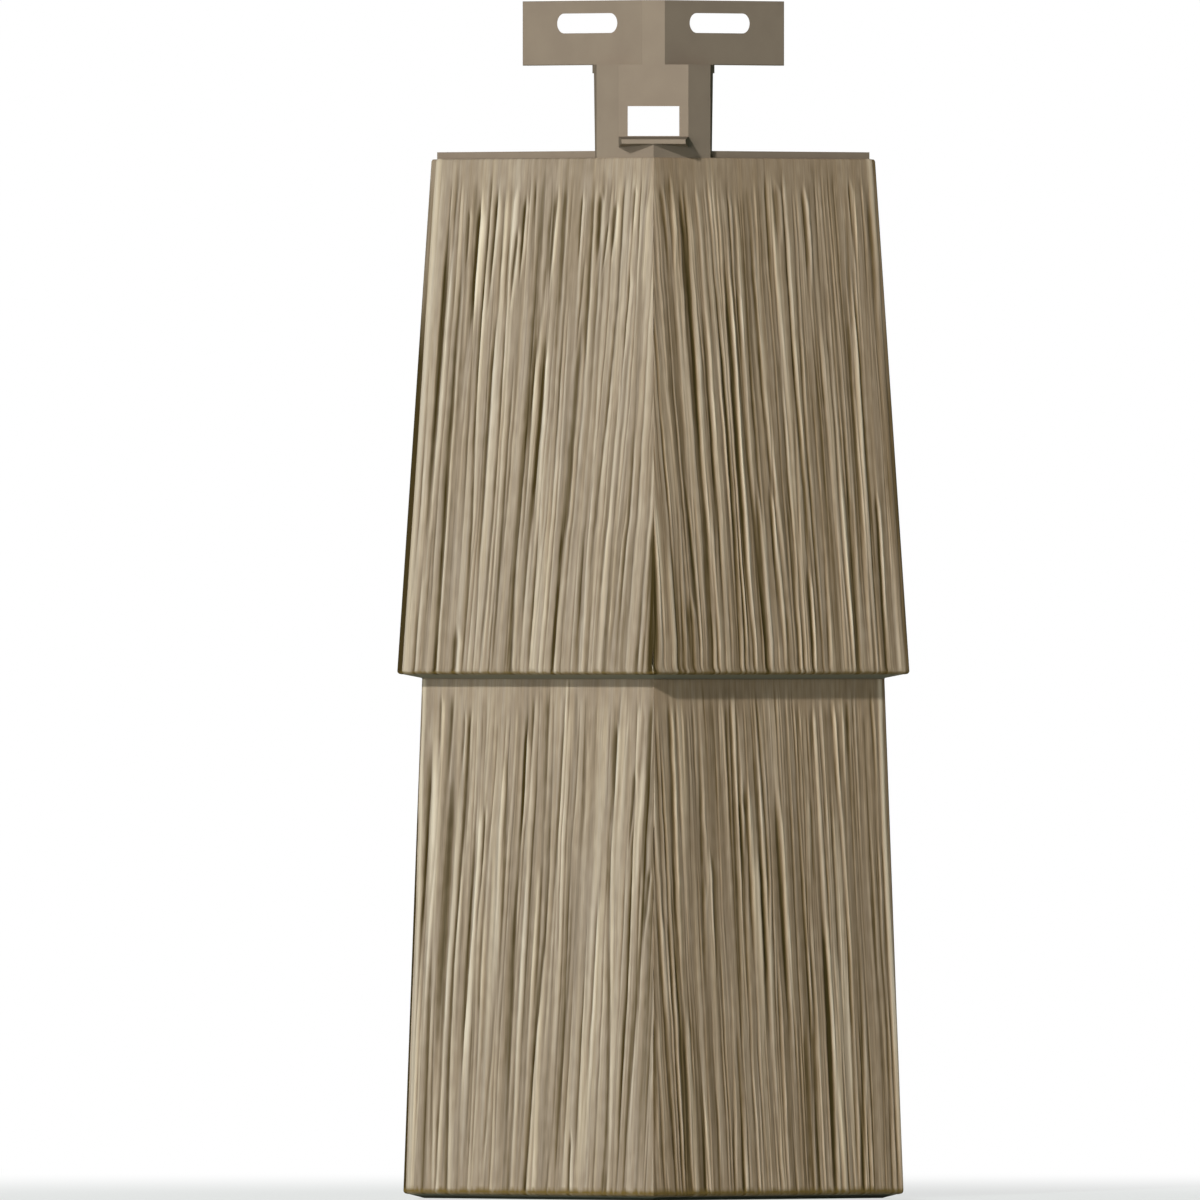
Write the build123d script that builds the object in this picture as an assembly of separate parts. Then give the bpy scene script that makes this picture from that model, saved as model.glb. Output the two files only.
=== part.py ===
from build123d import *
from math import sqrt, tan, radians
import os

# An outside corner piece for polymer shake siding: one injection moulding, two courses high.
# Two legs run back along +X and +Y from a plumb mitred corner, whose arris looks to -X and -Y.
# It is drawn from the sharp corner of the stem's front planes, x = 0 and y = 0, and moved at the
# end so that the corner of the seat behind the crossbar is the origin. How far a surface stands
# out in front of its leg's stem plane is its stand. The lowest rim is at z = 0. The mould opens
# along the corner's bisector, so slots, window and the stem's returns follow that direction.

# Walls, and heights from the bottom up. The piece above stands two exposures higher
wall = 2.2
flange_thickness = 2.8
foot_depth = 1.9
course_exposure = 177.8
stacking_clearance = 0.3
hem_height = 2.8
neck_height = 32.2
crossbar_height = 22.0

# Runs are measured along a leg from the sharp corner of its own front planes
leg_run = 107.5
leg_end_radius = 0.5

# Stand of the plain face, the floor that the wood grain rises from
upper_top_stand = 0.2
upper_butt_stand = 16.8
lower_top_stand = 4.7
lower_butt_stand = 13.8

# Undersides of the butts, drafted down towards the wall
underside_fall = 1.7
web_inner_stand = 2.9
foot_width = 1.0
butt_radius = 0.9
ledge_radius = 0.6

# The nailing flange: a T bent round the corner, its corner cut off in one flat square to the
# bisector. The stem stands out in front of the crossbar, and its sides return to it
stem_run = 27.5
stem_setback = 11.9
return_draft = 6
crossbar_run = 63.5
crossbar_setback = 3.85
flange_edge_radius = 0.5

# Nailing slots
slot_length = 29.0
slot_width = 6.8
slot_end_margin = 17.0
slot_top_margin = 4.3

# The locking shelf on the stem's flat and the window above it
shelf_rise = 5.8
shelf_root_thickness = 3.6
shelf_nose_thickness = 1.5
shelf_nose_inset = 1.0
shelf_overhang = 1.0
window_height = 10.2
window_side_margin = 3.1
window_clearance = 0.2

# Points nearer than this count as touching
touch = 0.01

# Worked out from the sizes above
upper_butt_height = foot_depth + course_exposure
lower_top_height = upper_butt_height - underside_fall
face_top_height = 2 * course_exposure - stacking_clearance
hem_top_height = face_top_height + hem_height
stem_root_height = face_top_height - wall
crossbar_bottom_height = face_top_height + neck_height
crossbar_top_height = crossbar_bottom_height + crossbar_height
crossbar_depth = (stem_setback - crossbar_setback) / sqrt(2)
seat_depth = crossbar_depth + flange_thickness
slot_run = crossbar_run - slot_end_margin - slot_length / 2
slot_center_height = crossbar_top_height - slot_top_margin - slot_width / 2
shelf_height = face_top_height + shelf_rise
shelf_bottom_height = shelf_height - shelf_root_thickness / 2
window_bottom_height = shelf_height + shelf_root_thickness / 2 + window_clearance
MITRE = Plane(origin=(0, 0, 0), z_dir=(1, -1, 0))
SECTION = Plane(origin=(0, 0, 0), x_dir=(0, -1, 0), z_dir=(-1, 0, 0))
CROSSBAR_FRONT = Plane(origin=(crossbar_depth, crossbar_depth, 0), x_dir=(1, 0, 0), z_dir=(0, -1, 0))
BISECTOR = (1, 1, 0)


def corner_plane(setback):
    """An upright plane square to the bisector, facing out, its middle setback behind the corner."""
    along = setback / sqrt(2)
    return Plane(origin=(along, along, 0), x_dir=(1, -1, 0), z_dir=(-1, -1, 0))


def both_legs(leg):
    """The leg along +X and its mirror image along +Y, joined on the mitre."""
    return leg + mirror(leg, about=MITRE)


def upright(outline, bottom, top):
    """A closed plan outline raised from one height to another."""
    return Pos(0, 0, bottom) * extrude(make_face(outline), amount=top - bottom)


def near(vertices, stand, height):
    """The vertex of a leg section that is nearest to a stand and a height."""
    return vertices.sort_by_distance((stand, height, 0))[0]


def folded_section():
    """One leg's folded wall, stand across and height up: hem, ledge, two courses, two undersides."""
    outline = Polyline(
        (-flange_thickness, hem_top_height),
        (-flange_thickness, face_top_height),
        (upper_top_stand, face_top_height),
        (upper_butt_stand, upper_butt_height),
        (lower_top_stand, lower_top_height),
        (lower_butt_stand, foot_depth),
        (web_inner_stand + foot_width, 0),
        (web_inner_stand, 0),
    )
    section = make_face(offset(outline, amount=wall, side=Side.RIGHT))
    corners = section.vertices()
    butts = [
        near(corners, upper_butt_stand, upper_butt_height),
        near(corners, lower_butt_stand, foot_depth),
    ]
    section = fillet(butts, butt_radius)
    ledges = [
        near(section.vertices(), lower_top_stand, lower_top_height),
        near(section.vertices(), upper_top_stand, face_top_height),
    ]
    return fillet(ledges, ledge_radius)


def leg_wall():
    """One leg's folded wall, square at its plumb end and cut on the mitre."""
    run = leg_run + lower_butt_stand + upper_butt_stand
    bar = extrude(SECTION.offset(-leg_run) * folded_section(), amount=run)
    return split(bar, bisect_by=MITRE, keep=Keep.TOP)


def rounded_ends(walls):
    """Round the two upright outer edges at each leg's plumb end."""
    edges = [
        edge
        for edge in walls.edges().filter_by(GeomType.LINE)
        if edge.length > course_exposure / 2 and is_outer_end(edge.center())
    ]
    return fillet(edges, leg_end_radius)


def is_outer_end(point):
    """True for a point on a plumb end's outer edge, in front of the middle of the wall."""
    run = max(point.X, point.Y)
    stand = -min(point.X, point.Y)
    if abs(run - leg_run) > touch:
        return False
    upper = (upper_top_stand + upper_butt_stand) / 2
    lower = (lower_top_stand + lower_butt_stand) / 2
    middle = upper if point.Z > upper_butt_height else lower
    return abs(stand - middle) < wall / 2


def bent_plate(run, setback, bottom, top):
    """A plate bent round its corner, the corner cut off in a flat setback behind its tip."""
    cut = setback * sqrt(2)
    tip = [(cut, 0), (0, cut)] if setback else [(0, 0)]
    outline = Polyline((run, 0), *tip, (0, run))
    return upright(offset(outline, amount=flange_thickness, side=Side.RIGHT), bottom, top)


def return_run(depth):
    """Run of the stem's drafted side at a depth behind the stem's front plane."""
    spread = tan(radians(return_draft))
    return stem_run + depth * (1 + spread) / (1 - spread)


def stem_return():
    """One side of the stem, back to a line from the hem's front up to the crossbar's front."""
    plan = Polyline(
        (stem_run - flange_thickness, 0),
        (stem_run, 0),
        (return_run(crossbar_depth), crossbar_depth),
        (return_run(crossbar_depth) - flange_thickness * sqrt(2), crossbar_depth),
        close=True,
    )
    side = Polyline(
        (0, stem_root_height),
        (flange_thickness, stem_root_height),
        (crossbar_depth, crossbar_bottom_height),
        (0, crossbar_bottom_height),
        close=True,
    )
    wedge = extrude(Plane.YZ * make_face(side), amount=return_run(crossbar_depth))
    return upright(plan, stem_root_height, crossbar_bottom_height) & wedge


def stem_top():
    """Half of the level web that joins the stem's plates and returns to the crossbar."""
    front = stem_setback * sqrt(2)
    back = (stem_setback + flange_thickness) * sqrt(2)
    plan = Polyline(
        (front / 2, front / 2),
        (front, 0),
        (stem_run, 0),
        (return_run(seat_depth), seat_depth),
        (back - seat_depth, seat_depth),
        (back / 2, back / 2),
        close=True,
    )
    return upright(plan, crossbar_bottom_height - flange_thickness, crossbar_bottom_height)


def root_cap():
    """Closes the top of the sharp-cornered root, level below the shelf and in front of the stem's flat."""
    cut = stem_setback * sqrt(2)
    return upright(Polyline((0, 0), (cut, 0), (0, cut), close=True), shelf_bottom_height, shelf_height)


def is_crossbar_rim(edge):
    """True for an edge of the crossbar's outline, at the front of its plates."""
    ends = edge.vertices()
    in_front = all(abs(min(end.X, end.Y) - crossbar_depth) < touch for end in ends)
    along_top = all(end.Z > crossbar_top_height - touch for end in ends)
    beyond_stem = all(max(end.X, end.Y) > return_run(crossbar_depth) - touch for end in ends)
    above_stem = all(end.Z > crossbar_bottom_height - touch for end in ends)
    return in_front and above_stem and (along_top or beyond_stem)


def nailing_flange():
    """The T: a sharp-cornered root, the stem with its deep flat, and the crossbar with a shallow one."""
    root = bent_plate(stem_run, 0, stem_root_height, shelf_bottom_height) + root_cap()
    stem = bent_plate(stem_run, stem_setback, shelf_bottom_height, crossbar_bottom_height)
    plates = bent_plate(crossbar_run, crossbar_setback, crossbar_bottom_height, crossbar_top_height)
    crossbar = Pos(crossbar_depth, crossbar_depth, 0) * plates
    tee = root + stem + crossbar + both_legs(stem_return()) + both_legs(stem_top())
    return fillet(tee.edges().filter_by(is_crossbar_rim), flange_edge_radius)


def locking_shelf():
    """The shelf that holds down the piece above, drafted from the stem's flat to a thin nose."""
    middle = Pos(0, shelf_height)
    root_width = 2 * stem_setback
    root = corner_plane(stem_setback) * middle * Rectangle(root_width, shelf_root_thickness)
    nose_width = root_width - 2 * shelf_nose_inset
    nose = corner_plane(-shelf_overhang) * middle * Rectangle(nose_width, shelf_nose_thickness)
    return loft([root.face(), nose.face()])


def window():
    """The opening in the stem's flat, above the shelf."""
    width = 2 * (stem_setback - window_side_margin)
    sketch = Pos(0, window_bottom_height) * Rectangle(width, window_height, align=(Align.CENTER, Align.MIN))
    return extrude(corner_plane(stem_setback) * sketch, amount=2 * flange_thickness, both=True)


def nailing_slot():
    """One leg's nailing slot, long along the leg, its walls along the bisector."""
    sketch = CROSSBAR_FRONT * (Pos(slot_run, slot_center_height) * SlotOverall(slot_length, slot_width))
    return extrude(sketch, amount=3 * flange_thickness, dir=BISECTOR, both=True)


def corner_piece():
    """The whole moulding."""
    walls = rounded_ends(both_legs(leg_wall()))
    moulding = walls + nailing_flange() + locking_shelf()
    moulding = moulding - window() - both_legs(nailing_slot())
    return Pos(-seat_depth, -seat_depth, 0) * moulding


if __name__ == "__main__":
    os.makedirs("parts", exist_ok=True)
    export_step(corner_piece(), "parts/corner_piece.step")
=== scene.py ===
import bpy
import numpy as np
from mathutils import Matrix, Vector


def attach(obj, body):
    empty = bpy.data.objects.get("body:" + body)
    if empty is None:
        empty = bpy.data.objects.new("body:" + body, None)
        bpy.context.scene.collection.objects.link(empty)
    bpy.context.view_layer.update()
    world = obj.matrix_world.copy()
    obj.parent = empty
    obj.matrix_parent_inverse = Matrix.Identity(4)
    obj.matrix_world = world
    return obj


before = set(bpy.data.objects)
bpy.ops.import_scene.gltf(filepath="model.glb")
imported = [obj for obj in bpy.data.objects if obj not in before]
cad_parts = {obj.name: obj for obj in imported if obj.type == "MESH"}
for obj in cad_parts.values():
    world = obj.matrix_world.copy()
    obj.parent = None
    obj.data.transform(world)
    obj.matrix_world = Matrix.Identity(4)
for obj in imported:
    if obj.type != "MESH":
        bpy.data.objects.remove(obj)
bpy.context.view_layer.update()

# A shake siding corner piece, moulded in one colour. The CAD model is the plain moulding, and here
# each of its four faces gets a skin of split-wood grain: two courses, upper and lower, on two legs,
# one along +X and one along +Y. Sizes are in millimetres until a mesh is made, but OBJECT_HEIGHT,
# CAMERA_DISTANCE and the floor's sizes are in metres.
MM = 0.001

# Where the CAD model's surfaces are. A leg's stand is how far a surface stands out in front of the
# stem's front plane, which is SEAT_DEPTH in front of the seat, and run is the length along the leg
# from the stem's sharp corner. Each course has the stand and height of its face's top, of its butt's
# edge, and of the web's end that the butt's underside leads to
SEAT_DEPTH = 8.492
LEG_RUN = 107.5
BUTT_RADIUS = 0.9
LEDGE_RADIUS = 0.6
COURSES = {
    "upper": {"top": (0.2, 355.3), "butt": (16.8, 179.7), "web": (4.7, 178.0)},
    "lower": {"top": (4.7, 178.0), "butt": (13.8, 1.9), "web": (3.9, 0.0)},
}

# The photograph's framing: the whole height fills the picture, the arris stands right of its middle
PHOTO_SIDE = 1200
OBJECT_HEIGHT = 409.5 * MM
ARRIS_PIXEL = 653.5
CAMERA_AZIMUTH = np.radians(-45)
CAMERA_DISTANCE = 18.0
SENSOR_WIDTH = 36.0
VIEW_RIGHT = np.array([np.cos(CAMERA_AZIMUTH), np.sin(CAMERA_AZIMUTH), 0.0])
VIEW_AWAY = np.array([-np.sin(CAMERA_AZIMUTH), np.cos(CAMERA_AZIMUTH), 0.0])
UP = np.array([0.0, 0.0, 1.0])

# Each lamp: how far its light travels to the photograph's right, away from its camera and up, its
# strength, and how broad it looks, in degrees
LAMPS = {
    "key_lamp": (0.33, 1.0, -0.375, 2.01, 3),
    "fill_lamp": (0.26, 1.0, 0.0, 1.54, 20),
    "back_lamp": (0.2, -1.0, -0.14, 2.0, 20),
}

# The surround is white where it is seen, and lights the piece with a little of this colour
WHITE = (1, 1, 1, 1)
SURROUND_COLOUR = (0.72, 1, 0.85, 1)
SURROUND_STRENGTH = 0.04

# The floor, with distances from the piece's origin: how far it goes, where its fade to white begins
# and ends, and how white it is before the fade
FLOOR_REACH = 6.0
FADE_START = 0.15
FADE_END = 0.9
LEAST_WHITE = 0.6
FLOOR_COLOUR = (0.44, 0.52, 0.48, 1)
FLOOR_ROUGHNESS = 0.9


def unit(vector):
    """The vector divided by its length."""
    vector = np.asarray(vector, float)
    return vector / np.linalg.norm(vector)


def smooth(t):
    """The smoothstep of t: 0 below 0, 1 above 1, and 3 t^2 - 2 t^3 between."""
    t = np.clip(t, 0, 1)
    return t * t * (3 - 2 * t)


def rising(value, start, end):
    """0 up to the start, 1 from the end on, and a smoothstep between."""
    return smooth((value - start) / (end - start))


def srgb(text):
    """A colour written as six hex digits, as linear RGBA."""
    values = np.array([int(text[i : i + 2], 16) for i in (0, 2, 4)]) / 255
    linear = np.where(values <= 0.04045, values / 12.92, ((values + 0.055) / 1.055) ** 2.4)
    return (*linear.tolist(), 1.0)


class Nodes:
    """Adds nodes to one node tree and joins them up."""

    def __init__(self, tree):
        self.tree = tree

    def add(self, kind, inputs=(), **settings):
        """A node of a kind with its settings. Inputs pair a socket's name or number with its value or
        with the output that feeds it."""
        node = self.tree.nodes.new(f"ShaderNode{kind}")
        for name, value in settings.items():
            setattr(node, name, value)
        for name, value in dict(inputs).items():
            self.feed(node.inputs[name], value)
        return node

    def feed(self, socket, value):
        """Joins an output to the socket, or sets its value."""
        if isinstance(value, bpy.types.NodeSocket):
            self.tree.links.new(value, socket)
        else:
            socket.default_value = value

    def math(self, operation, *values):
        """The output of a Math node."""
        return self.add("Math", enumerate(values), operation=operation).outputs[0]

    def ranged(self, value, low, high, to_low=0.0, to_high=1.0):
        """The value carried by a smoothstep from one range to another."""
        inputs = {"Value": value, "From Min": low, "From Max": high, "To Min": to_low, "To Max": to_high}
        return self.add("MapRange", inputs, interpolation_type="SMOOTHSTEP").outputs["Result"]

    def mixed(self, amount, first, second, blend_type="MIX"):
        """The colour first, mixed with second by the amount."""
        inputs = {0: amount, 6: first, 7: second}
        return self.add("Mix", inputs, data_type="RGBA", blend_type=blend_type).outputs[2]

    def chosen(self, switch, first, second):
        """The number first where the switch is 0, and second where it is 1."""
        return self.add("Mix", {0: switch, 2: first, 3: second}, data_type="FLOAT").outputs[0]

    def shaders(self, amount, first, second):
        """The shader first, mixed with second by the amount."""
        return self.add("MixShader", {0: amount, 1: first, 2: second}).outputs[0]


def new_material(name):
    """A new material, its nodes and its Principled BSDF."""
    material = bpy.data.materials.new(name)
    material.use_nodes = True
    nodes = Nodes(material.node_tree)
    return material, nodes, nodes.tree.nodes["Principled BSDF"]


def new_object(name, data):
    """A new object of the scene."""
    thing = bpy.data.objects.new(name, data)
    bpy.context.collection.objects.link(thing)
    return thing


def place_camera():
    """A level camera far down the corner's bisector, moved sideways so the arris lands on its pixel."""
    sideways = (ARRIS_PIXEL - PHOTO_SIDE / 2) / PHOTO_SIDE * OBJECT_HEIGHT
    target = UP * OBJECT_HEIGHT / 2 - VIEW_RIGHT * sideways
    data = bpy.data.cameras.new("photo_camera")
    data.sensor_width = SENSOR_WIDTH
    data.lens = SENSOR_WIDTH * CAMERA_DISTANCE / OBJECT_HEIGHT
    data.clip_end = 4 * CAMERA_DISTANCE
    camera = new_object("photo_camera", data)
    camera.location = target - VIEW_AWAY * CAMERA_DISTANCE
    camera.rotation_euler = (np.pi / 2, 0, CAMERA_AZIMUTH)
    bpy.context.scene.camera = camera


def sun_lamp(name, travel, strength, breadth):
    """A sun lamp whose light travels in a direction."""
    data = bpy.data.lights.new(name, "SUN")
    data.energy = strength
    data.angle = np.radians(breadth)
    lamp = new_object(name, data)
    lamp.rotation_euler = Vector(unit(travel)).to_track_quat("-Z", "Y").to_euler()


def seen_directly(nodes):
    """1 for rays from the camera, off a gloss or through glass, and 0 for the rest."""
    path = nodes.add("LightPath").outputs
    either = nodes.math("MAXIMUM", path["Is Camera Ray"], path["Is Glossy Ray"])
    return nodes.math("MAXIMUM", either, path["Is Transmission Ray"])


def light_scene():
    """A key lamp from above on the left, a softer level one beside the camera, one behind for the side
    away from it, and an even surround that the camera sees as white."""
    for name, (right, away, up, strength, breadth) in LAMPS.items():
        sun_lamp(name, right * VIEW_RIGHT + away * VIEW_AWAY + up * UP, strength, breadth)
    world = bpy.data.worlds.new("surround")
    bpy.context.scene.world = world
    world.use_nodes = True
    world.node_tree.nodes.clear()
    nodes = Nodes(world.node_tree)
    seen = nodes.add("Background", {"Color": WHITE}).outputs[0]
    lit = nodes.add("Background", {"Color": SURROUND_COLOUR, "Strength": SURROUND_STRENGTH}).outputs[0]
    nodes.add("OutputWorld", {"Surface": nodes.shaders(seen_directly(nodes), lit, seen)})


def make_floor():
    """A level pale floor, real near the piece and fading to plain white farther out."""
    mesh = bpy.data.meshes.new("floor")
    near, far = -FLOOR_REACH, FLOOR_REACH
    mesh.from_pydata([(near, near, 0), (far, near, 0), (far, far, 0), (near, far, 0)], [], [(0, 1, 2, 3)])
    material, nodes, real = new_material("pale_floor")
    real.inputs["Base Color"].default_value = FLOOR_COLOUR
    real.inputs["Roughness"].default_value = FLOOR_ROUGHNESS
    white = nodes.add("Emission").outputs[0]
    place = nodes.add("TexCoord").outputs["Object"]
    distance = nodes.add("VectorMath", {0: place}, operation="LENGTH").outputs["Value"]
    fade = nodes.ranged(distance, FADE_START, FADE_END, LEAST_WHITE)
    shown = nodes.math("MULTIPLY", fade, seen_directly(nodes))
    surface = nodes.shaders(shown, real.outputs[0], white)
    nodes.feed(nodes.tree.nodes["Material Output"].inputs["Surface"], surface)
    mesh.materials.append(material)
    new_object("floor", mesh)


# A skin's grid: its rows in all, those over the ledge, round the butt and along the underside, and its
# columns along the run
ROWS = 192
LEDGE_ROWS = 5
ARC_ROWS = 6
UNDER_ROWS = 3
COLUMNS = 504

# How far a skin reaches: back on the ledge, along the underside, and along the leg. The lower course's
# skin has no ledge, and its ledge rows lie between these distances down its face
LEDGE_LENGTH = 1.0
UNDER_LENGTH = 1.4
SKIN_END = 107.0
LOWER_START = (0.2, 1.0)

# How deep a skin's borders are sunk in the wall, how deep the wall's middle is, where the skin's back
# lies, and how much weaker grain and stain are on the underside
TUCK = 0.35
HALF_WALL = 1.1
UNDER_FADE = 0.6

# Grain. Across is the length to the right as the photograph sees a leg, so that a groove's torn ridge
# lies on its right on both legs, and up is the height above the lowest rim. Tone is about -1 in a
# stained groove and about 1 on a pale ridge

# Each grained face's random seed
GRAIN_SEEDS = {("upper", "x"): 11, ("upper", "y"): 41, ("lower", "x"): 71, ("lower", "y"): 101}

# Patterns of upright streaks: the step from the face's seed to the first layer's, and each layer's
# pitch across, length up and height. Ripple and wander bend the grain sideways, undulation is its
# broad relief, shade its broad tone, onset makes it start at uneven depths, patch makes the random
# grooves stronger and weaker, crumbs are the finest relief, strip is the mottle of the stained strip
# down a plumb end, and stain makes the edge of the butt's stain waver
PATTERNS = {
    "ripple": (0, [(6, 21, 0.18), (2.6, 9, 0.06)]),
    "wander": (2, [(40, 110, 0.8), (12, 70, 0.5)]),
    "undulation": (4, [(14, 130, 0.35), (6.5, 115, 0.24), (3.6, 90, 0.24), (1.9, 60, 0.13)]),
    "shade": (7, [(9, 150, 1)]),
    "onset": (8, [(5, 50, 5), (1.7, 50, 4)]),
    "patch": (10, [(3, 11, 0.35)]),
    "crumbs": (11, [(1.6, 4, 1)]),
    "strip": (0, [(0.7, 12, 0.15)]),
    "stain": (0, [(1.1, 30, 0.35)]),
}

# How many curves stand side by side, the middle one at 0 across, and how many values each has before
# it repeats
CURVES = 512
CURVE_VALUES = 64

# How far each course's grain leans out to the plumb ends, in mm for each mm down
GRAIN_LEAN = {"upper": 0.006, "lower": 0.02}

# How coarse the grain is on each leg, a factor on the undulations' pitches and on the random grooves
GRAIN_SIZE = {"x": 0.85, "y": 1.08}

# Depths under a course's top: where the grain starts on the whole, where it grows, counted from that
# start, and where its strength changes over; and how much of it there is above its start
ONSET_DEPTH = 9
GROWTH = (-4, 6)
STRENGTH_DEPTHS = (25, 165)
LEAST_GROWN = 0.15

# How strong each face's random grooves are near its top and at its butt, and its broad shades
GRAIN_STRENGTH = {
    ("upper", "y"): (0.95, 1.0),
    ("upper", "x"): (0.8, 1.04),
    ("lower", "y"): (1.06, 0.88),
    ("lower", "x"): (0.93, 1.06),
}
BROAD_SHADE = {("upper", "y"): 0.12, ("upper", "x"): 0.08, ("lower", "y"): 0.2, ("lower", "x"): 0.1}

# What the tone takes from the undulations' slope, which is measured over twice a small step: painted light
# and shade, paler where the relief slopes towards the lamps' side and darker where it slopes away. Then
# what it takes from their height and from the crumbs
PAINTED_SLOPE_LIGHT = 1.6
SLOPE_STEP = 0.15
UNDULATION_TONE = 0.25
CRUMB_TONE = 0.08

# What the relief takes from the undulations, from each leg's grooves and from the crumbs
UNDULATION_RELIEF = 0.6
GROOVE_RELIEF = {"x": 0.5, "y": 0.75}
CRUMB_RELIEF = 0.02

# Heights above the butt's edge, and depths under the top, between which the relief grows to its full
# height, and its share right at the top
BUTT_FADE = (0.4, 2.4)
TOP_FADE = (0, 14)
TOP_RELIEF = 0.3

# The skin's usual height above the plain face, its least height, and how softly it is kept above that
MEAN_RISE = 0.45
LEAST_RISE = 0.04
RISE_SOFTNESS = 0.08

# A groove's section in half widths, for a depth of 1: the height and tone of the bell that is cut out and
# of the torn ridge, and the ridge's place and half width. The ridge lies on the groove's right as the
# camera sees it, and its pale tone is partly the ridge's own paleness and partly a painted highlight where
# light from the left would fall
CUT_HEIGHT = -0.8
CUT_TONE = -0.9
RIDGE_HEIGHT = 0.45
RIDGE_TONE_AND_HIGHLIGHT = 0.7
RIDGE_PLACE = 1.9
RIDGE_WIDTH = 0.85

# Families of random split grooves, coarse to fine: the step from the face's seed, pitch across,
# length up, half width and depth
GROOVE_FAMILIES = [
    (12, 8.5, 95, 0.95, 0.7),
    (14, 4.1, 74, 0.72, 0.72),
    (16, 2.3, 56, 0.44, 0.44),
    (18, 1.3, 42, 0.26, 0.1),
]

# How far a random groove strays from its place, in pitches, and how much longer its bends are than
# its openings; between which values of its curve it opens, and its share of its width while shut
STRAY = 0.45
STRAY_LENGTH = 1.3
OPENING = (-0.45, 0.9)
SHUT_WIDTH = 0.6

# How much of a main groove's length its two points take, how wide it is at a point, both as shares,
# and a factor on its half width
TOP_POINT = 0.2
BOTTOM_POINT = 0.5
POINT_WIDTH = 0.5
WIDENING = 1.3

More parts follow.
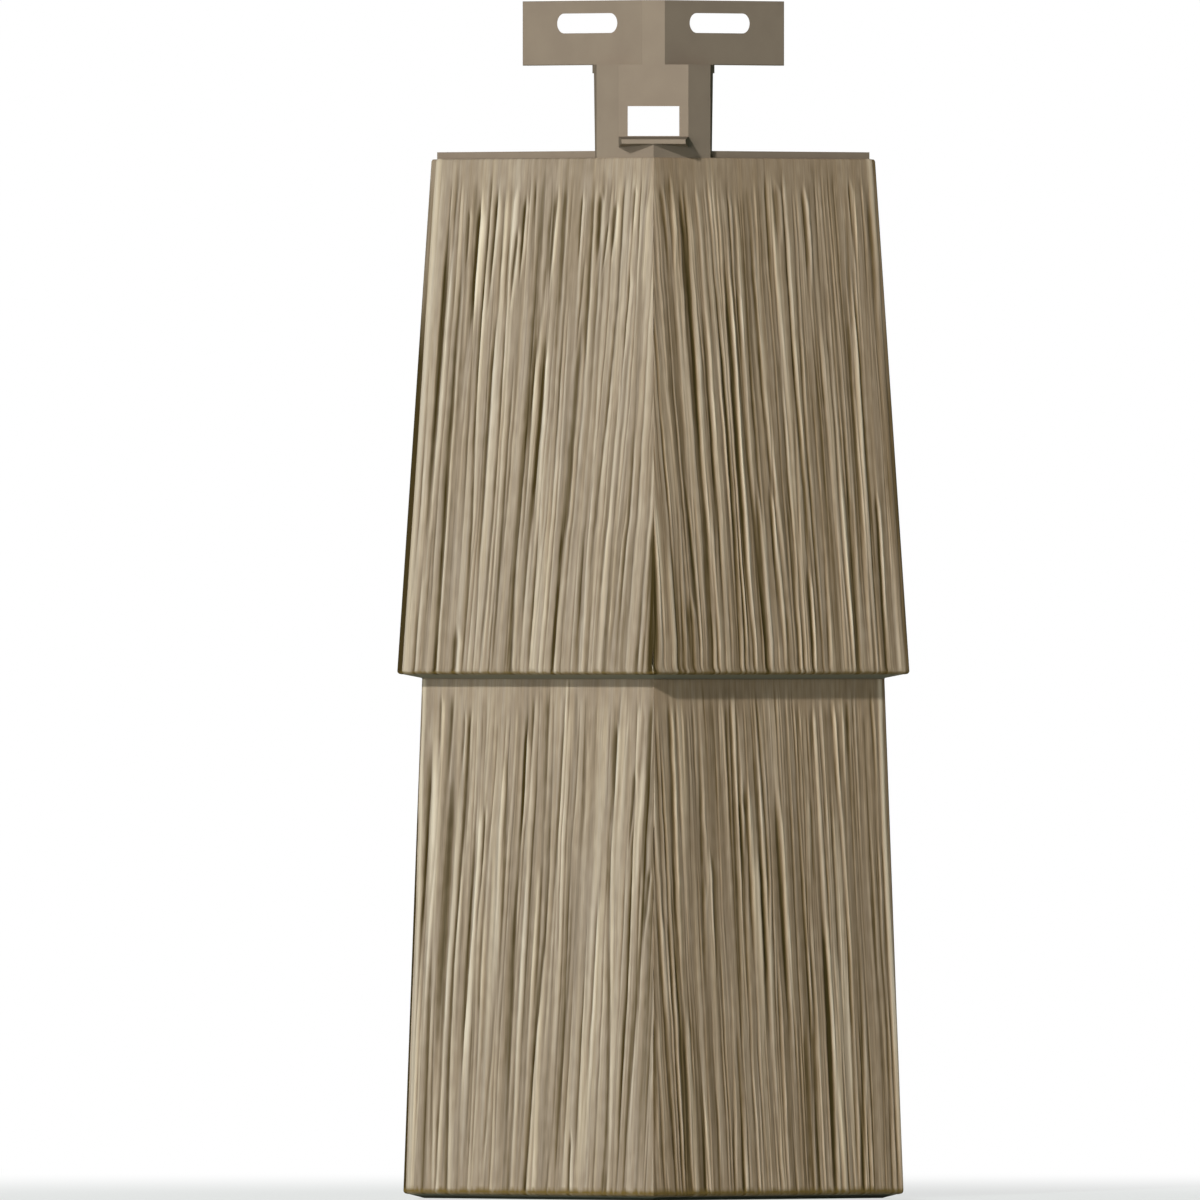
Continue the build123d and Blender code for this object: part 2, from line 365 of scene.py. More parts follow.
# The main split grooves of each face: run at the top, run at the bottom, top, bottom, half width, depth
MAIN_GROOVES = {
    ("upper", "y"): [
        (8, 8, 347, 326, 0.6, 0.8), (7.5, 8.5, 320, 278, 0.6, 0.8), (9.5, 12, 284, 180, 0.6, 0.6),
        (16.5, 17, 342, 318, 0.7, 1.0), (19.5, 21.5, 335, 312, 0.5, 0.7), (24.5, 24, 345, 316, 0.7, 1.1),
        (33, 33, 345, 317, 0.5, 0.7), (30, 31.5, 324, 284, 0.5, 0.6), (45, 47.5, 348, 300, 0.6, 1.0),
        (60.3, 61, 345, 308, 0.6, 1.2), (63.5, 65, 334, 300, 0.7, 1.1), (73.6, 75.5, 348, 299, 0.7, 1.2),
        (81.7, 83, 345, 288, 0.8, 1.3), (87, 87, 340, 314, 0.6, 0.7), (96.2, 98, 340, 190, 1.0, 1.2),
        (46.5, 45.7, 302, 190, 0.9, 0.9), (29.5, 30.5, 300, 210, 0.9, 0.7), (50.5, 51, 296, 205, 0.5, 0.7),
        (61, 61.5, 294, 150, 0.5, 0.7), (71, 71, 306, 185, 0.7, 0.8), (89, 89, 336, 150, 0.6, 0.7),
        (43, 44, 236, 150, 0.6, 0.7), (80, 80, 198, 155, 0.9, 1.1), (-12.3, -17, 246, 125, 1.0, 1.5),
        (64.5, 65, 348, 310, 0.6, -0.5), (79, 79.5, 340, 290, 0.8, -0.5), (85, 85.5, 325, 280, 0.7, -0.4),
        (1, 0.5, 345, 300, 1.2, -0.4), (48.5, 48.5, 285, 230, 0.6, -0.4),
    ],
    ("upper", "x"): [
        (2, 4, 348, 312, 0.7, 0.6), (6.5, 6, 352, 312, 0.6, 0.7), (13.5, 13, 352, 235, 0.9, 1.0),
        (13, 16, 245, 150, 0.7, 0.7), (18.7, 19, 318, 180, 0.7, 0.7), (26, 27, 314, 180, 0.6, 0.5),
        (30.6, 30.6, 330, 160, 0.8, 1.3), (35.7, 36, 312, 283, 0.5, 0.7), (38, 39.5, 250, 140, 0.8, 1.2),
        (44.5, 47, 250, 160, 0.6, 0.8), (57.3, 57, 348, 322, 0.9, 0.7), (70.5, 71, 348, 304, 0.7, 1.1),
        (72, 72, 306, 150, 2.2, 0.35), (88.5, 87.5, 322, 150, 0.7, 0.8), (93.3, 94, 350, 316, 0.6, 0.8),
        (102.5, 103, 350, 265, 0.7, 0.8), (96, 96.5, 244, 200, 0.6, 0.8), (60.3, 61, 220, 160, 0.6, 0.9),
        (53, 54, 244, 170, 0.5, 0.6), (2.8, 3.3, 210, 150, 0.8, 1.2), (-12.5, -17.6, 250, 125, 0.9, 1.4),
        (8.5, 9.5, 348, 285, 0.8, -0.5), (9.7, 10, 300, 150, 0.7, -0.5), (91.5, 91.5, 322, 150, 0.7, -0.8),
        (80, 80, 256, 150, 0.8, -0.6), (-6, -5.5, 228, 150, 0.9, -0.7), (25, 25, 302, 210, 0.6, -0.6),
    ],
    ("lower", "y"): [
        (-6, -4, 115, 87, 0.6, 1.0), (3, 4.5, 150, 115, 0.6, 0.9), (12.4, 13.3, 165, 125, 0.6, 0.8),
        (56, 56.8, 162, 116, 0.7, 1.2), (27.3, 27.3, 162, 108, 0.7, 0.4), (34, 33.5, 160, 90, 0.7, 0.4),
        (74.3, 75.2, 138, 98, 0.5, 0.8), (77.2, 83, 134, 26, 1.3, 0.7), (86, 86.5, 168, 140, 0.5, 0.7),
        (90, 94.6, 150, 26, 1.5, 0.8), (97.5, 97.5, 174, 144, 0.5, 0.7), (101.5, 102, 160, 48, 1.2, 0.9),
        (18.5, 21, 114, 0, 0.6, 0.7), (44, 47.5, 92, 30, 0.6, 0.7), (58, 59.5, 112, 10, 1.4, 0.4),
        (70.5, 71.5, 126, 0, 0.8, 0.5), (27.6, 27.8, 26, -20, 0.6, 1.1), (30, 37, 122, -30, 5.0, 0.25),
        (90, 94, 170, -10, 6.0, 0.12), (-3, 2, 96, -10, 0.6, 0.6), (17, 24, 124, -10, 0.6, 0.4),
        (52.3, 54.8, 168, 5, 1.0, -0.55), (66, 66.6, 158, 45, 0.8, -0.75), (75.8, 78.2, 136, 84, 0.8, -0.9),
        (85.2, 86, 172, 20, 1.0, -0.4), (1.2, 3.2, 172, 128, 0.7, -0.7), (-1.5, 0.5, 156, 90, 0.8, -0.6),
        (47.2, 48.7, 118, 50, 0.6, -0.6), (5, 6, 70, -10, 0.6, -0.5), (36.7, 36.7, 180, 156, 0.4, -0.6),
    ],
    ("lower", "x"): [
        (37, 39, 148, 72, 0.8, 1.0), (34.6, 36.2, 138, 100, 0.7, 0.8), (51.8, 55.6, 146, 34, 0.8, 1.3),
        (73.2, 74.8, 104, -40, 0.9, 1.4), (76.4, 77, 88, 20, 1.2, 0.5), (66, 67, 70, -30, 0.8, 0.8),
        (62, 63, 66, -30, 1.0, 0.7), (3, 3.8, 70, -40, 1.4, 0.7), (-10.5, -12, 66, 10, 0.8, 0.8),
        (29.5, 30, 66, -30, 0.7, 0.6), (17, 17, 129, 98, 0.5, 0.5), (84, 84, 169, 130, 0.7, 0.4),
        (44, 45, 114, 50, 1.0, 0.4), (60, 64, 150, -40, 8.0, 0.2), (10, 12, 80, -40, 8.0, 0.1),
        (19, 19.6, 122, 66, 0.7, -0.7), (41.7, 42.7, 124, 50, 0.8, -0.7), (34, 34.5, 176, 134, 0.6, -0.5),
        (85, 85, 174, 144, 0.9, -0.4), (67.6, 67.6, 140, 100, 0.6, -0.5), (-4.5, -2.5, 100, 50, 0.8, -0.7),
        (5.4, 5.6, 70, -10, 0.6, -0.5), (79.5, 81, 98, -40, 2.4, -0.3), (101.3, 101.3, 172, 20, 0.6, -0.4),
    ],
}

# The border down each plumb end, in rows: height, run of the pale bead's middle, the bead's tone, and
# the tone of the stained strip beyond it. Values between two rows are interpolated
END_BORDERS = {
    ("upper", "y"): [
        (178, 103.2, 0.55, -1.5), (240, 103.1, 0.6, -1.35), (285, 103.1, 0.65, -1.1),
        (308, 103.2, 0.7, -0.35), (355, 103.3, 0.65, -0.2),
    ],
    ("upper", "x"): [
        (178, 104.2, 0.4, -0.6), (210, 103.8, 0.0, -0.5), (240, 104, -0.35, -0.7),
        (270, 104, -0.25, -0.6), (300, 103.6, 0.1, -0.25), (320, 104.6, 0.45, -0.2),
        (355, 104.1, 0.75, -0.45),
    ],
    ("lower", "y"): [
        (0, 104.4, 0.5, -1.5), (60, 104.5, 0.6, -1.5), (100, 104.4, 0.75, -1.3),
        (130, 104.8, 0.75, -0.9), (150, 105.5, 0.75, -0.3), (178, 105.6, 0.75, 0.0),
    ],
    ("lower", "x"): [
        (0, 106.2, 0.0, 0.1), (20, 106, 0.6, 0.3), (60, 105.9, 0.9, 0.5), (100, 104.9, 1.0, -0.2),
        (130, 104.3, 1.0, -0.35), (178, 104.4, 0.85, -0.4),
    ],
}

# The bead's half width on each face, its height, the strip's height, where the strip starts beyond the
# bead's middle, and how far it evens out the grain
BEAD_HALF_WIDTH = {("upper", "y"): 1.3, ("upper", "x"): 1.2, ("lower", "y"): 0.9, ("lower", "x"): 1.0}
BEAD_RISE = 0.6
STRIP_RISE = 0.3
STRIP_START = (1.1, 1.5)
STRIP_EVENNESS = 0.7

# The brown stain fades out over this height above each butt, from this share of it above the edge
STAIN_REACH = {"upper": 0.7, "lower": 1.7}
STAIN_FULL = 0.3


def column_curves(index, up, length, seed):
    """One curve from -1 to 1 for each column number: random values one every length up, started at the
    column's own random height, with smoothstep between them."""
    draw = np.random.default_rng(seed)
    values = draw.uniform(-1, 1, (CURVES, CURVE_VALUES))
    starts = draw.uniform(0, CURVE_VALUES, CURVES)
    level = up / length + starts[index]
    below = np.floor(level).astype(int)
    rise = smooth(level - below)
    lower = values[index, below % CURVE_VALUES]
    upper = values[index, (below + 1) % CURVE_VALUES]
    return lower * (1 - rise) + upper * rise


def streaks(across, up, pitch, length, seed):
    """Upright streaks from -1 to 1: a curve stands every pitch across, and smoothstep blends it into
    the next one."""
    place = across / pitch + CURVES / 2
    left = np.floor(place).astype(int)
    blend = smooth(place - left)
    here = column_curves(left, up, length, seed)
    return here * (1 - blend) + column_curves(left + 1, up, length, seed) * blend


def pattern(name, across, up, seed):
    """A pattern's layers added up: each is upright streaks times its height."""
    step, layers = PATTERNS[name]
    return sum(
        high * streaks(across, up, pitch, length, seed + step + i)
        for i, (pitch, length, high) in enumerate(layers)
    )


def groove_shape(side, opened):
    """Height and tone across a groove, side being the distance to its right in half widths: a bell is
    cut out, and on its right a lower bell is the torn ridge."""
    cut = opened * np.exp(-side * side)
    ridge = opened * np.exp(-(((side - RIDGE_PLACE) / RIDGE_WIDTH) ** 2))
    return np.stack([RIDGE_HEIGHT * ridge + CUT_HEIGHT * cut, RIDGE_TONE_AND_HIGHLIGHT * ridge + CUT_TONE * cut])


def split_grooves(across, up, table):
    """Height and tone of single grooves, pointed at both ends. Rows: place at the top, place at the
    bottom, top, bottom, half width, depth. A depth below zero turns a groove into a rib."""
    total = np.zeros((2, *across.shape))
    for first, last, top, bottom, half_width, depth in table:
        along = (top - up) / (top - bottom)
        opened = rising(along, 0, TOP_POINT) * rising(1 - along, 0, BOTTOM_POINT)
        width = WIDENING * half_width * (POINT_WIDTH + (1 - POINT_WIDTH) * opened)
        side = (across - first - (last - first) * along) / width
        total += groove_shape(side, depth * opened)
    return total


def groove_family(across, up, pitch, length, half_width, depth, seed):
    """Height and tone of grooves one pitch apart. Each wanders about its place and opens and closes
    as curves of its own."""
    place = across / pitch + CURVES / 2
    total = np.zeros((2, *across.shape))
    for neighbour in (-1, 0, 1):
        column = np.floor(place).astype(int) + neighbour
        centre = column + 0.5 + STRAY * column_curves(column, up, STRAY_LENGTH * length, seed)
        opened = rising(column_curves(column, up, length, seed + 1), *OPENING)
        side = (place - centre) * pitch / (half_width * (SHUT_WIDTH + (1 - SHUT_WIDTH) * opened))
        total += groove_shape(side, depth * opened)
    return total


def grain(run, up, course, leg):
    """Height in mm above the plain face, and tone from about -1 to 1. The height adds up undulations,
    grooves and crumbs, and the tone adds up painted light and shade from the undulations' slope along
    the leg, their height, the grooves' own tone, a broad shade and crumbs. Undulations and random grooves
    die out irregularly under the course's top, and a soft floor keeps the height just above the plain face."""
    seed = GRAIN_SEEDS[course, leg]
    top = COURSES[course]["top"][1]
    butt = COURSES[course]["butt"][1]
    hand = 1 if leg == "x" else -1
    depth = top - up
    across = hand * (run + GRAIN_LEAN[course] * (up - butt))
    ripple = pattern("ripple", across, up, seed)
    bent = across + pattern("wander", across, up, seed) + ripple
    sized = bent / GRAIN_SIZE[leg]
    high = pattern("undulation", sized, up, seed)
    right = pattern("undulation", sized + SLOPE_STEP, up, seed)
    left = pattern("undulation", sized - SLOPE_STEP, up, seed)
    slope = (right - left) / (2 * SLOPE_STEP)
    onset = ONSET_DEPTH + pattern("onset", across, np.zeros_like(up), seed)
    grown = LEAST_GROWN + (1 - LEAST_GROWN) * rising(depth - onset, *GROWTH)
    near_top, near_butt = GRAIN_STRENGTH[course, leg]
    strength = near_top + (near_butt - near_top) * rising(depth, *STRENGTH_DEPTHS)
    patch = 1 + pattern("patch", across, up, seed)
    many = sum(
        groove_family(sized, up / GRAIN_SIZE[leg], *family, seed + step)
        for step, *family in GROOVE_FAMILIES
    )
    many = grown * strength * patch * many
    main = [(hand * first, hand * last, *rest) for first, last, *rest in MAIN_GROOVES[course, leg]]
    few = split_grooves(hand * run + ripple, up, main)
    crumbs = pattern("crumbs", across, up, seed)
    shade = BROAD_SHADE[course, leg] * pattern("shade", bent, up, seed)
    # Painted light and shade: the tone is paler where the undulations slope towards the lamps and darker
    # where they slope away
    tone = grown * (PAINTED_SLOPE_LIGHT * hand * slope + UNDULATION_TONE * high)
    tone = tone + many[1] + few[1] + shade + CRUMB_TONE * crumbs
    relief = UNDULATION_RELIEF * grown * high + GROOVE_RELIEF[leg] * (many[0] + few[0])
    relief = (relief + CRUMB_RELIEF * crumbs) * rising(up - butt, *BUTT_FADE)
    relief = relief * (TOP_RELIEF + (1 - TOP_RELIEF) * rising(depth, *TOP_FADE))
    above = (MEAN_RISE + relief - LEAST_RISE) / RISE_SOFTNESS
    return LEAST_RISE + RISE_SOFTNESS * np.logaddexp(0, above), tone


def rounded_corner(before, corner, after, radius, steps):
    """Points of the arc that rounds a corner between two others, and its normals. The arc's centre lies
    a radius inside both edges, and its angle runs evenly through the turn from one to the other."""
    to, out = unit(corner - before), unit(after - corner)
    turn = np.arccos(np.dot(to, out))
    normal = np.array([-to[1], to[0]])
    centre = corner - to * radius * np.tan(turn / 2) - normal * radius
    angles = np.linspace(0, turn, steps)[:, None]
    turned = normal * np.cos(angles) + to * np.sin(angles)
    return centre + radius * turned, turned


def face_section(course):
    """The plain section of a course's face as points and outward normals, stand and height: over the
    ledge's rounding or from a little under the butt above, down the battered face, round the butt and a
    little way along the underside. Also each point's roll, 0 on the face and 1 on the underside."""
    top, butt, web = (np.array(COURSES[course][key]) for key in ("top", "butt", "web"))
    down = unit(butt - top)
    out = np.array([-down[1], down[0]])
    butt_arc, butt_normals = rounded_corner(top, butt, web, BUTT_RADIUS, ARC_ROWS)
    back = unit(web - butt)
    under = butt_arc[-1] + back * np.linspace(0, UNDER_LENGTH, UNDER_ROWS + 1)[1:, None]
    if course == "upper":
        ledge = top - np.array([LEDGE_LENGTH, 0.0])
        head, head_normals = rounded_corner(ledge, top, butt, LEDGE_RADIUS, LEDGE_ROWS - 1)
        head = np.concatenate([[ledge], head])
        head_normals = np.concatenate([[[0.0, 1.0]], head_normals])
    else:
        head = top + down * np.linspace(*LOWER_START, LEDGE_ROWS)[:, None]
        head_normals = np.tile(out, (LEDGE_ROWS, 1))
    count = ROWS - LEDGE_ROWS - ARC_ROWS - UNDER_ROWS
    steps = np.linspace(0, 1, count + 2)[1:-1, None]
    face = head[-1] + (butt_arc[0] - head[-1]) * steps
    points = np.concatenate([head, face, butt_arc, under])
    face_normals = np.tile(out, (count, 1))
    under_normals = np.tile(butt_normals[-1], (UNDER_ROWS, 1))
    normals = np.concatenate([head_normals, face_normals, butt_normals, under_normals])
    above_butt = np.zeros(LEDGE_ROWS + count)
    roll = np.concatenate([above_butt, np.linspace(0, 1, ARC_ROWS), np.ones(UNDER_ROWS)])
    return points, normals, roll


def end_border(run, up, course, leg, rise, tone):
    """The height and tone with the border down the plumb end: a bell of the bead's half width draws
    both to the bead's own, and beyond it a step draws them to the stained strip's."""
    heights, *columns = np.array(END_BORDERS[course, leg]).T
    centre, pale, stain = (np.interp(up, heights, column) for column in columns)
    bead = np.exp(-(((centre - run) / BEAD_HALF_WIDTH[course, leg]) ** 2))
    rise = rise + bead * (BEAD_RISE - rise)
    tone = tone + bead * (pale - tone)
    strip = rising(run - centre, *STRIP_START)
    stain = stain + pattern("strip", run, up, GRAIN_SEEDS[course, leg])
    return rise + STRIP_EVENNESS * strip * (STRIP_RISE - rise), tone + strip * (stain - tone)


def skin_surface(course, leg):
    """One face's grid of run, stand and height, with its tone and its brown stain. The plain section is
    carried from the mitre to the plumb end, and each point moves out along its normal by the grain's
    height. The stain is a smoothstep down to the butt's edge. The two legs' skins meet in one line at
    the arris, and the borders are sunk in the wall."""
    section, normals, roll = face_section(course)
    stand, level = section[:, :1], section[:, 1:]
    steps = np.linspace(0, 1, COLUMNS)[None, :]
    run = -stand + (SKIN_END + stand) * steps
    up = np.broadcast_to(level, run.shape)
    rise, tone = grain(run, up, course, leg)
    rise, tone = end_border(run, up, course, leg, rise, tone)
    fade = 1 - UNDER_FADE * roll[:, None]
    over_butt = (up - COURSES[course]["butt"][1]) / STAIN_REACH[course]
    over_butt = over_butt + pattern("stain", run, up, GRAIN_SEEDS[course, leg])
    stain = smooth(1 + STAIN_FULL - over_butt) * fade
    other = grain(-stand, level, course, "y" if leg == "x" else "x")[0] * fade
    rise = rise * fade
    rise[0] = rise[-1] = other[0] = other[-1] = -TUCK
    rise[:, -1] = -TUCK
    arris = -stand - other * normals[:, :1]
    stand = stand + rise * normals[:, :1]
    level = level + rise * normals[:, 1:]
    run = arris + (SKIN_END - arris) * steps
    return np.stack([run, stand, level], axis=-1), tone, stain


def skin_back(course):
    """The grid of a skin's back: two rows in the middle of the wall, one above the butt and one under
    the course's top, that run from the mitre to the plumb end."""
    top, butt = (np.array(COURSES[course][key]) for key in ("top", "butt"))
    down = unit(butt - top)
    inward = np.array([down[1], -down[0]])
    ends = np.stack([butt - HALF_WALL * down, top + HALF_WALL * down]) + HALF_WALL * inward
    stand, level = ends[:, :1], ends[:, 1:]
    run = -stand + (SKIN_END + stand) * np.linspace(0, 1, COLUMNS)[None, :]
    return np.stack(np.broadcast_arrays(run, stand, level), axis=-1)


def grain_skin(course, leg, material):
    """One face's grain as a closed skin: its front and its plain back are one tube of quads, wrapped
    round the section, and a face closes it at each end."""
    front, tone, stain = skin_surface(course, leg)
    grid = np.concatenate([front, skin_back(course)])
    index = np.arange(len(grid) * COLUMNS).reshape(-1, COLUMNS)
    below = np.roll(index, -1, axis=0)
    quads = np.stack([index[:, :-1], below[:, :-1], below[:, 1:], index[:, 1:]], axis=-1).reshape(-1, 4)
    faces = quads.tolist() + [index[::-1, 0].tolist(), index[:, -1].tolist()]
    run, stand, level = grid.reshape(-1, 3).T
    along, out = run - SEAT_DEPTH, -stand - SEAT_DEPTH
    points = np.stack([along, out, level] if leg == "x" else [out, along, level], axis=1)
    if leg == "y":
        faces = [face[::-1] for face in faces]
    mesh = bpy.data.meshes.new(f"{course}_grain_{leg}")
    mesh.from_pydata((points * MM).tolist(), [], faces)
    for name, values in (("tone", tone), ("stain", stain)):
        full = np.zeros(len(points))
        full[: values.size] = values.ravel()
        mesh.attributes.new(name, "FLOAT", "POINT").data.foreach_set("value", full)
    mesh.shade_smooth()
    mesh.materials.append(material)
    piece = new_object(mesh.name, mesh)
    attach(piece, "root")


# Colours of the plain moulding: its mottle, where the grain lies on it, the painted shade under the butts,
# a grey-green that stands in for the shade there, and the stain that has run round each leg's plumb end
MOTTLE = ("958675", "9a8b79")
GRAIN_BED = "a3937e"
SHADE_UNDER_BUTTS = "a29d8d"
END_STAIN = {"x": "7c6e48", "y": "3f371f"}

# Colours of each leg's grain, evenly spaced from the stained grooves, at minus FULL_TONE, to the pale
# ridges, at FULL_TONE. The two legs' colours differ only as painted light: they make up for how differently
# the lamps and the greenish surround light the two legs. Then how far fine streaks shift the tone, and the
# tints and the stain over them
LEG_LIT_GRAIN_COLOURS = {
    "x": ("4c4022", "7c6849", "aa947a", "ceba9f", "e8d9bf"),
    "y": ("463a1f", "776850", "a99883", "cebfa7", "e9ddc6"),
}
FULL_TONE = 1.1
STREAK_TONE = 0.075
WARM_TINT = (1.02, 1.0, 0.95, 1)
COOL_TINT = (0.98, 1.0, 1.04, 1)
BUTT_STAIN = "7a6535"

# The specular levels, low because the real moulding hardly reflects its surroundings
PLAIN_SPECULAR = 0.0
GRAIN_SPECULAR = 0.03

# Roughness of the plain moulding over its mottle, and of the grain from its grooves to its ridges
PLAIN_ROUGHNESS = (0.56, 0.66)
GRAIN_ROUGHNESS = (0.75, 0.58)

# Where the grain's bed is: below the hem's foot and in front of a stand
HEM_FOOT = COURSES["upper"]["top"][1] + 0.1
BED_STAND = -2.0

# Where the upper butt's underside is: about a height, within a half height, in front of a stand. Below
# the last height the lower course starts
UNDERSIDE_HEIGHT = COURSES["upper"]["web"][1] + 1.0
UNDERSIDE_HALF_HEIGHT = 1.2
UNDERSIDE_STAND = COURSES["upper"]["web"][0] + 0.2
LOWER_COURSE_TOP = COURSES["upper"]["web"][1] + 1.5

# Where the stain at the plumb ends is: from runs just before the end, and not on the end face itself,
# growing down each course between two heights
END_STAIN_RUN = (LEG_RUN - 0.9, LEG_RUN - 0.5)
END_FACE_RUN = LEG_RUN - 0.02
END_STAIN_GROWTH = {"upper": (345.0, 290.0), "lower": (165.0, 110.0)}

# How far apart the two legs' fine streaks lie in the noise that they are cut from
LEG_SHIFT = 37.0


def corner_coordinates():
    """A group that puts out, in millimetres on the outer faces, the run along whichever leg a point is
    on, its stand and its height, and 1 on the leg along +X or 0 on the other."""
    tree = bpy.data.node_groups.new("corner_coordinates", "ShaderNodeTree")
    for name in ("Run", "Stand", "Height", "Leg"):
        tree.interface.new_socket(name, in_out="OUTPUT", socket_type="NodeSocketFloat")
    nodes = Nodes(tree)
    place = nodes.add("TexCoord").outputs["Object"]
    axes = nodes.add("SeparateXYZ", {"Vector": place}).outputs
    longest = nodes.math("MAXIMUM", axes["X"], axes["Y"])
    shortest = nodes.math("MINIMUM", axes["X"], axes["Y"])
    out = tree.nodes.new("NodeGroupOutput")
    nodes.feed(out.inputs["Run"], nodes.math("MULTIPLY_ADD", longest, 1 / MM, SEAT_DEPTH))
    nodes.feed(out.inputs["Stand"], nodes.math("MULTIPLY_ADD", shortest, -1 / MM, -SEAT_DEPTH))
    nodes.feed(out.inputs["Height"], nodes.math("MULTIPLY", axes["Z"], 1 / MM))
    nodes.feed(out.inputs["Leg"], nodes.math("GREATER_THAN", axes["X"], axes["Y"]))
    return tree


def fine_streaks(coordinates):
    """A group of fine upright streaks from 0 to 1: noise whose cells are Pitch mm wide along the run
    and Length mm high, different on the two legs."""
    tree = bpy.data.node_groups.new("fine_streaks", "ShaderNodeTree")
    for name in ("Pitch", "Length", "Detail"):
        tree.interface.new_socket(name, in_out="INPUT", socket_type="NodeSocketFloat")
    tree.interface.new_socket("Streak", in_out="OUTPUT", socket_type="NodeSocketFloat")
    nodes = Nodes(tree)
    given = tree.nodes.new("NodeGroupInput").outputs
    place = nodes.add("Group", node_tree=coordinates).outputs
    across = nodes.math("DIVIDE", place["Run"], given["Pitch"])
    up = nodes.math("DIVIDE", place["Height"], given["Length"])
    leg = nodes.math("MULTIPLY", place["Leg"], LEG_SHIFT)
    spot = nodes.add("CombineXYZ", {"X": across, "Y": up, "Z": leg}).outputs["Vector"]
    inputs = {"Vector": spot, "Scale": 1.0, "Detail": given["Detail"], "Roughness": 0.6}
    noise = nodes.add("TexNoise", inputs).outputs["Fac"]
    out = tree.nodes.new("NodeGroupOutput")
    nodes.feed(out.inputs["Streak"], nodes.ranged(noise, 0.25, 0.75))
    return tree


def on_grain_bed(nodes, place):
    """1 on the faces that the grain lies on, and 0 elsewhere."""
    below_hem = nodes.math("LESS_THAN", place["Height"], HEM_FOOT)
    in_front = nodes.math("GREATER_THAN", place["Stand"], BED_STAND)
    return nodes.math("MULTIPLY", below_hem, in_front)


def under_butts(nodes, place):
    """1 on the undersides of the two butts, and 0 elsewhere."""
    upper = nodes.math("COMPARE", place["Height"], UNDERSIDE_HEIGHT, UNDERSIDE_HALF_HEIGHT)
    upper = nodes.math("MULTIPLY", upper, nodes.math("GREATER_THAN", place["Stand"], UNDERSIDE_STAND))
    lower = nodes.math("LESS_THAN", place["Height"], COURSES["lower"]["butt"][1])
    return nodes.math("MAXIMUM", upper, lower)


def end_stain(nodes, place, streak_group):
    """How much stain has run round the plumb ends: on their edges only, more and more down each course,
    and patchy as fine streaks."""
    at_end = nodes.ranged(place["Run"], *END_STAIN_RUN)
    on_end_face = nodes.math("GREATER_THAN", place["Run"], END_FACE_RUN)
    at_end = nodes.math("MULTIPLY", at_end, nodes.math("SUBTRACT", 1.0, on_end_face))
    upper = nodes.ranged(place["Height"], *END_STAIN_GROWTH["upper"])
    lower = nodes.ranged(place["Height"], *END_STAIN_GROWTH["lower"])
    on_lower = nodes.math("LESS_THAN", place["Height"], LOWER_COURSE_TOP)
    grown = nodes.chosen(on_lower, upper, lower)
    streak = nodes.add("Group", {"Pitch": 0.6, "Length": 14.0, "Detail": 2.0}, node_tree=streak_group)
    patches = nodes.ranged(streak.outputs["Streak"], 0.0, 0.5, 0.6, 1.0)
    return nodes.math("MULTIPLY", nodes.math("MULTIPLY", grown, patches), at_end)


def plain_plastic(coordinates, streak_group):
    """The plain moulding: one colour with a faint mottle, paler on the faces that the grain lies on, with
    painted shade under the butts, a grey-green that stands in for the shade there, the stain that has run
    from the grain round the plumb ends, and fine pores."""
    material, nodes, bsdf = new_material("moulded_plastic")
    bsdf.inputs["Specular IOR Level"].default_value = PLAIN_SPECULAR
    place = nodes.add("Group", node_tree=coordinates).outputs
    spot = nodes.add("TexCoord").outputs["Object"]
    mottle = nodes.add("TexNoise", {"Vector": spot, "Scale": 90.0, "Detail": 4.0}).outputs["Fac"]
    colour = nodes.mixed(nodes.ranged(mottle, 0.3, 0.7), srgb(MOTTLE[0]), srgb(MOTTLE[1]))
    colour = nodes.mixed(on_grain_bed(nodes, place), colour, srgb(GRAIN_BED))
    # Painted shade: the undersides of the butts get the grey-green of the shade that falls there
    colour = nodes.mixed(under_butts(nodes, place), colour, srgb(SHADE_UNDER_BUTTS))
    stain = nodes.mixed(place["Leg"], srgb(END_STAIN["y"]), srgb(END_STAIN["x"]))
    colour = nodes.mixed(end_stain(nodes, place, streak_group), colour, stain)
    nodes.feed(bsdf.inputs["Base Color"], colour)
    nodes.feed(bsdf.inputs["Roughness"], nodes.ranged(mottle, 0.2, 0.8, *PLAIN_ROUGHNESS))
    pores = nodes.add("TexNoise", {"Vector": spot, "Scale": 2500.0, "Detail": 2.0}).outputs["Fac"]
    bump = nodes.add("Bump", {"Height": pores, "Strength": 0.15, "Distance": 0.05 * MM})
    nodes.feed(bsdf.inputs["Normal"], bump.outputs["Normal"])
    return material


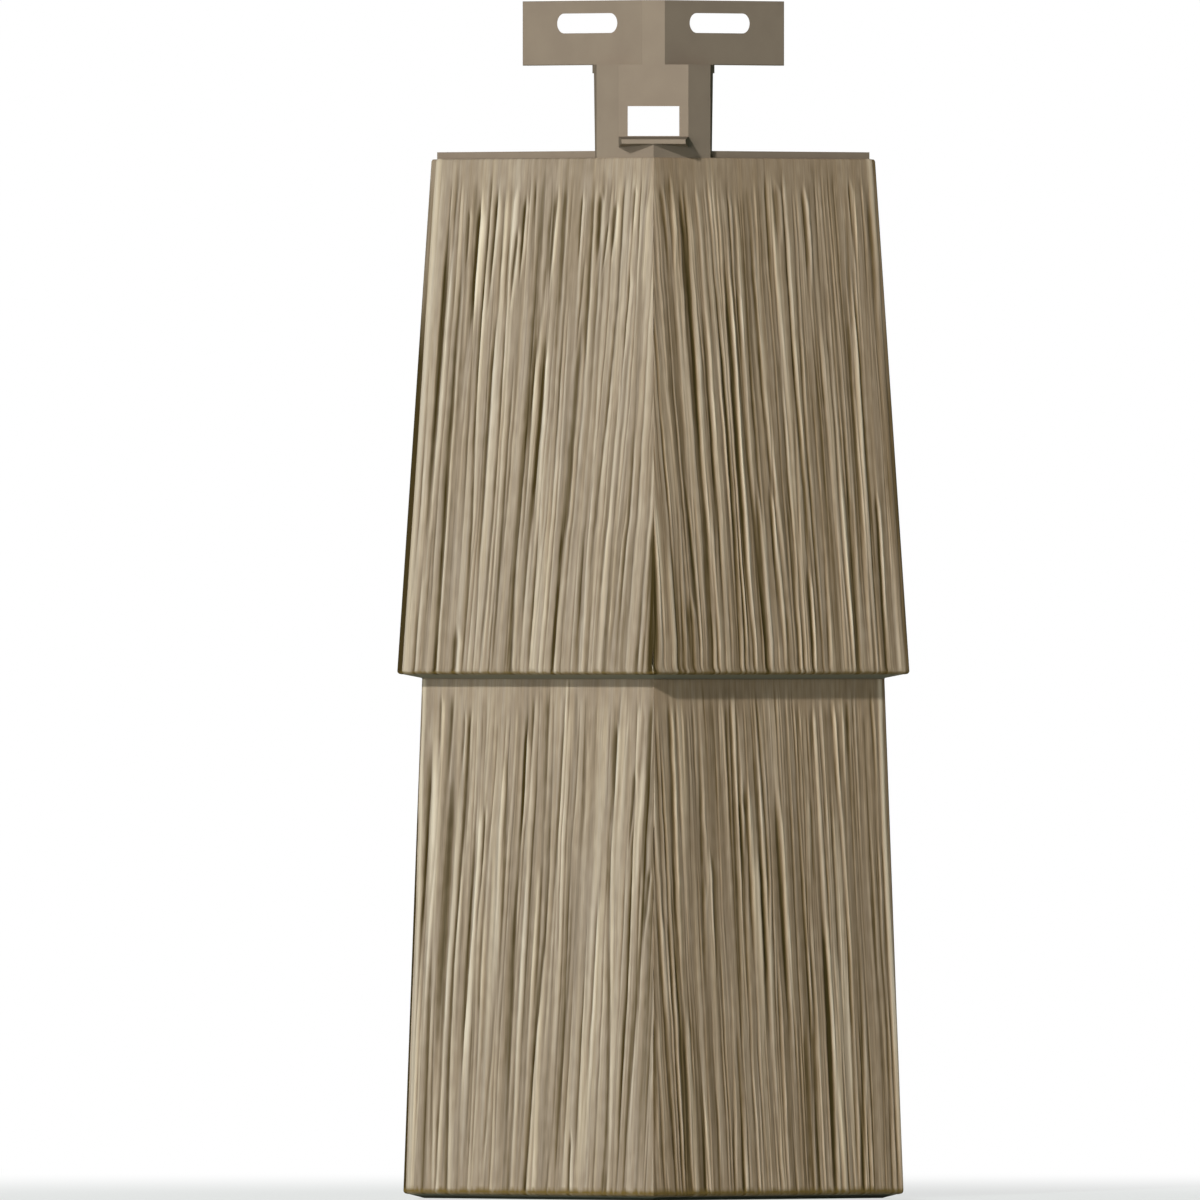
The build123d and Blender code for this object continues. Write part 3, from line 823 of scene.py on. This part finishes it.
def grained_plastic(leg, streak_group):
    """A leg's grained faces: a ramp from the stained grooves to the pale ridges in the leg's own colours,
    which differ from the other leg's as painted light, read from the tone, which carries painted light and
    shade, with fine streaks added, a slow drift of tint, and a brown stain along the butt."""
    material, nodes, bsdf = new_material(f"grained_plastic_{leg}")
    bsdf.inputs["Specular IOR Level"].default_value = GRAIN_SPECULAR
    tone = nodes.add("Attribute", attribute_name="tone").outputs["Fac"]
    stain = nodes.add("Attribute", attribute_name="stain").outputs["Fac"]
    fine = nodes.add("Group", {"Pitch": 0.45, "Length": 12.0, "Detail": 2.0}, node_tree=streak_group)
    fine = fine.outputs["Streak"]
    total = nodes.math("ADD", tone, nodes.ranged(fine, 0.0, 1.0, -STREAK_TONE, STREAK_TONE))
    spread = nodes.add("MapRange", {"Value": total, "From Min": -FULL_TONE, "From Max": FULL_TONE})
    ramp = nodes.add("ValToRGB", {"Fac": spread.outputs["Result"]})
    colours = LEG_LIT_GRAIN_COLOURS[leg]
    stops = ramp.color_ramp.elements
    while len(stops) < len(colours):
        stops.new(0.5)
    for stop, place, colour in zip(stops, np.linspace(0, 1, len(colours)), colours):
        stop.position = place
        stop.color = srgb(colour)
    drift = nodes.add("Group", {"Pitch": 2.2, "Length": 60.0, "Detail": 3.0}, node_tree=streak_group)
    tint = nodes.mixed(drift.outputs["Streak"], WARM_TINT, COOL_TINT)
    colour = nodes.mixed(1.0, ramp.outputs["Color"], tint, "MULTIPLY")
    colour = nodes.mixed(stain, colour, srgb(BUTT_STAIN))
    nodes.feed(bsdf.inputs["Base Color"], colour)
    nodes.feed(bsdf.inputs["Roughness"], nodes.ranged(total, -0.6, 0.6, *GRAIN_ROUGHNESS))
    bump = nodes.add("Bump", {"Height": fine, "Strength": 0.5, "Distance": 0.06 * MM})
    nodes.feed(bsdf.inputs["Normal"], bump.outputs["Normal"])
    return material


bpy.context.scene.view_settings.view_transform = "Standard"
place_camera()
light_scene()
make_floor()

coordinates = corner_coordinates()
streak_group = fine_streaks(coordinates)
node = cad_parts["corner_piece"]
node.data.materials.clear()
node.data.materials.append(plain_plastic(coordinates, streak_group))
grained = {leg: grained_plastic(leg, streak_group) for leg in ("x", "y")}
for course in COURSES:
    for leg in ("x", "y"):
        grain_skin(course, leg, grained[leg])
